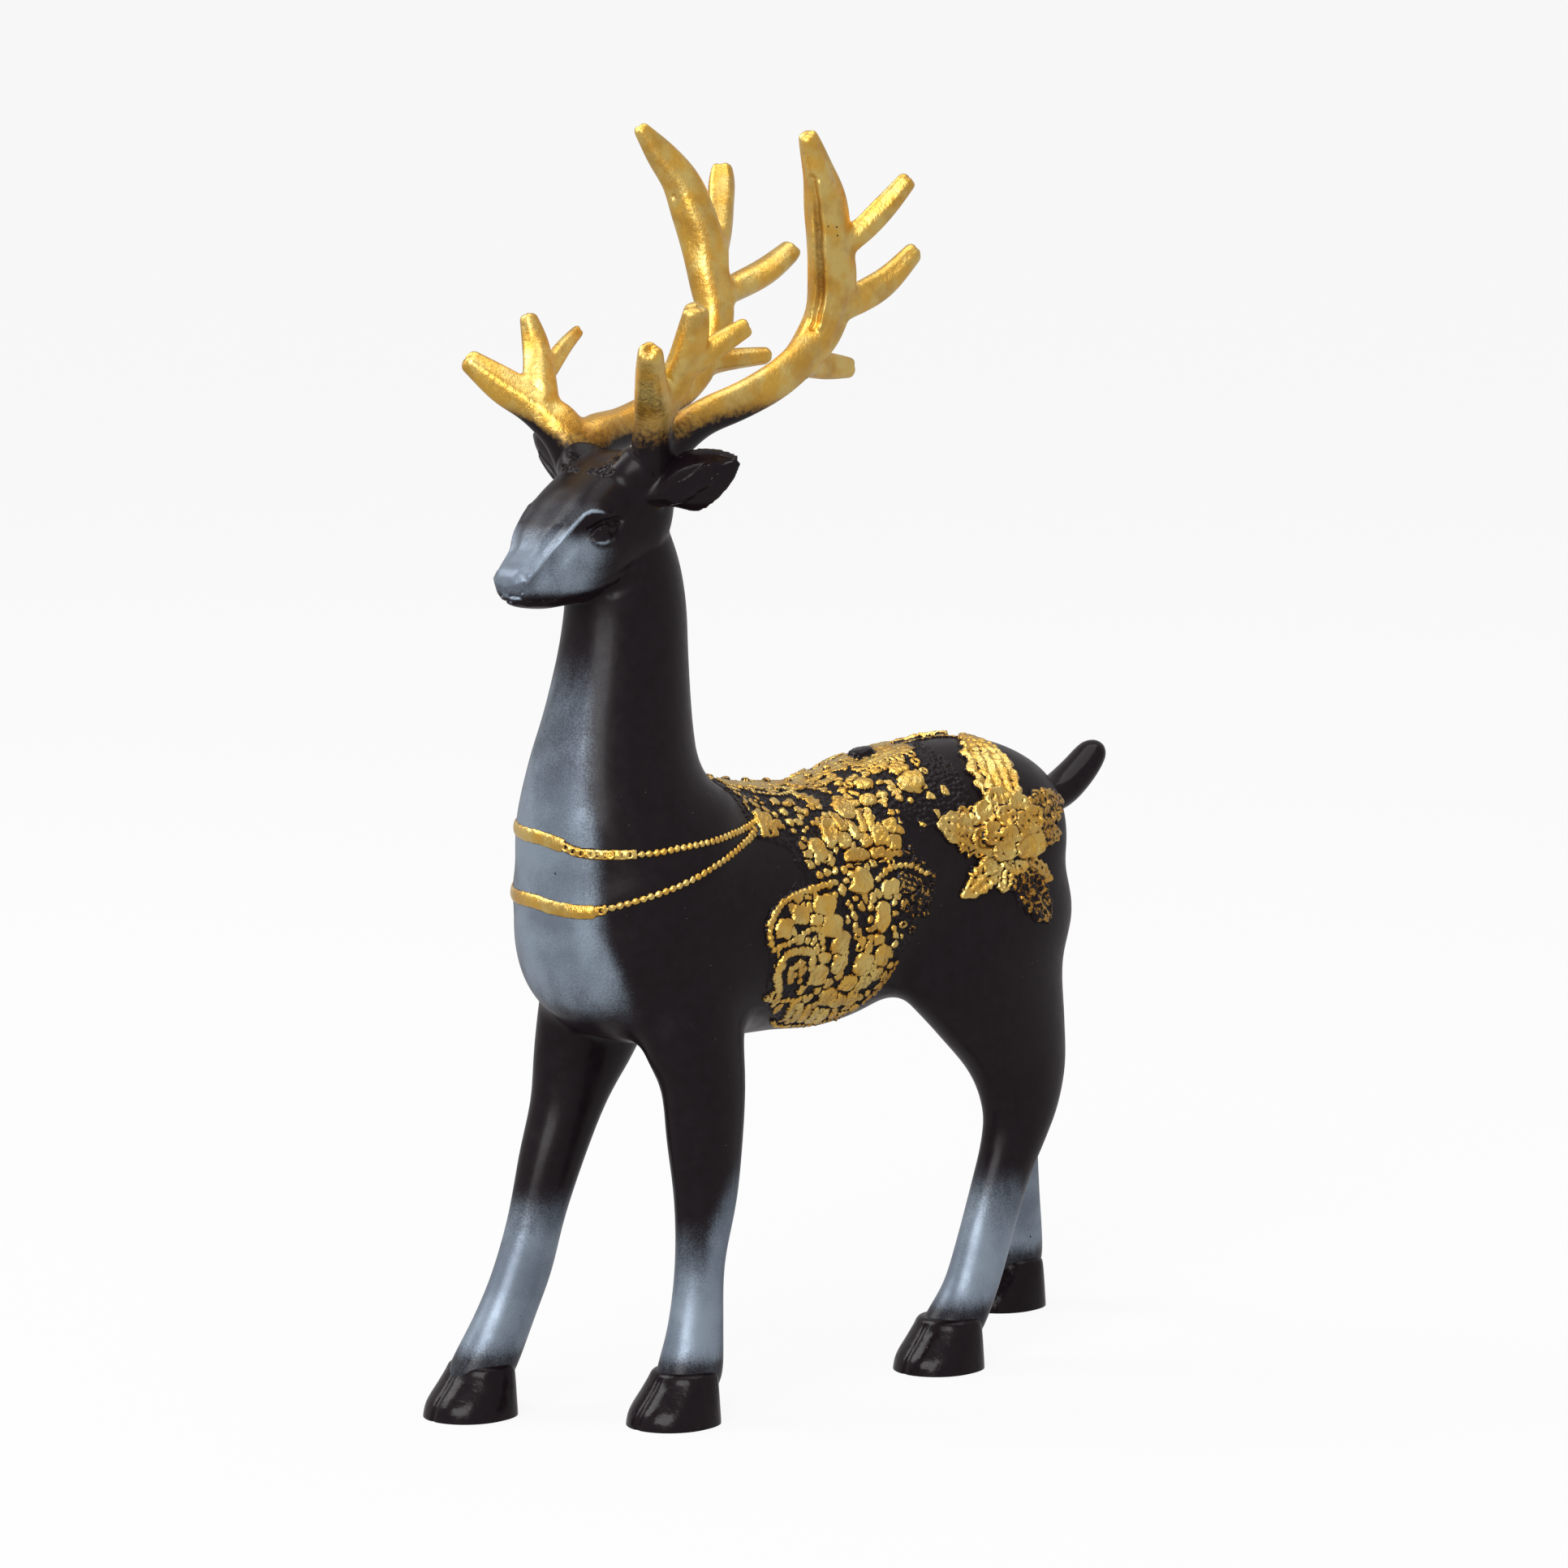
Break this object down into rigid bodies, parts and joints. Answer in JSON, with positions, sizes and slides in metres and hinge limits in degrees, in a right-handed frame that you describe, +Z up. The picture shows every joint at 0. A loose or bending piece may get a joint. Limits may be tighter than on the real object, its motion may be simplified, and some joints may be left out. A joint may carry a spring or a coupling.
{
  "type": "polyresin deer sculpture",
  "caption": "Standing stag figurine with branching antlers, a relief saddle, chest chains and hip flowers, black with gold and silver-blue paint.",
  "frame": {"origin": "centre of the footprint's bounding box, on the ground under the hooves", "axes": "+Z up, the stag faces -Y, +X is its left side"},
  "size_m": [0.0722, 0.2026, 0.3009],
  "materials": {
    "painted_polyresin": "black gloss enamel with gold-leafed antlers and relief and a silver-blue spray on muzzle, chest and shins"
  },
  "bodies": {
    "root": {"deer": "painted_polyresin"}
  },
  "joints": []
}
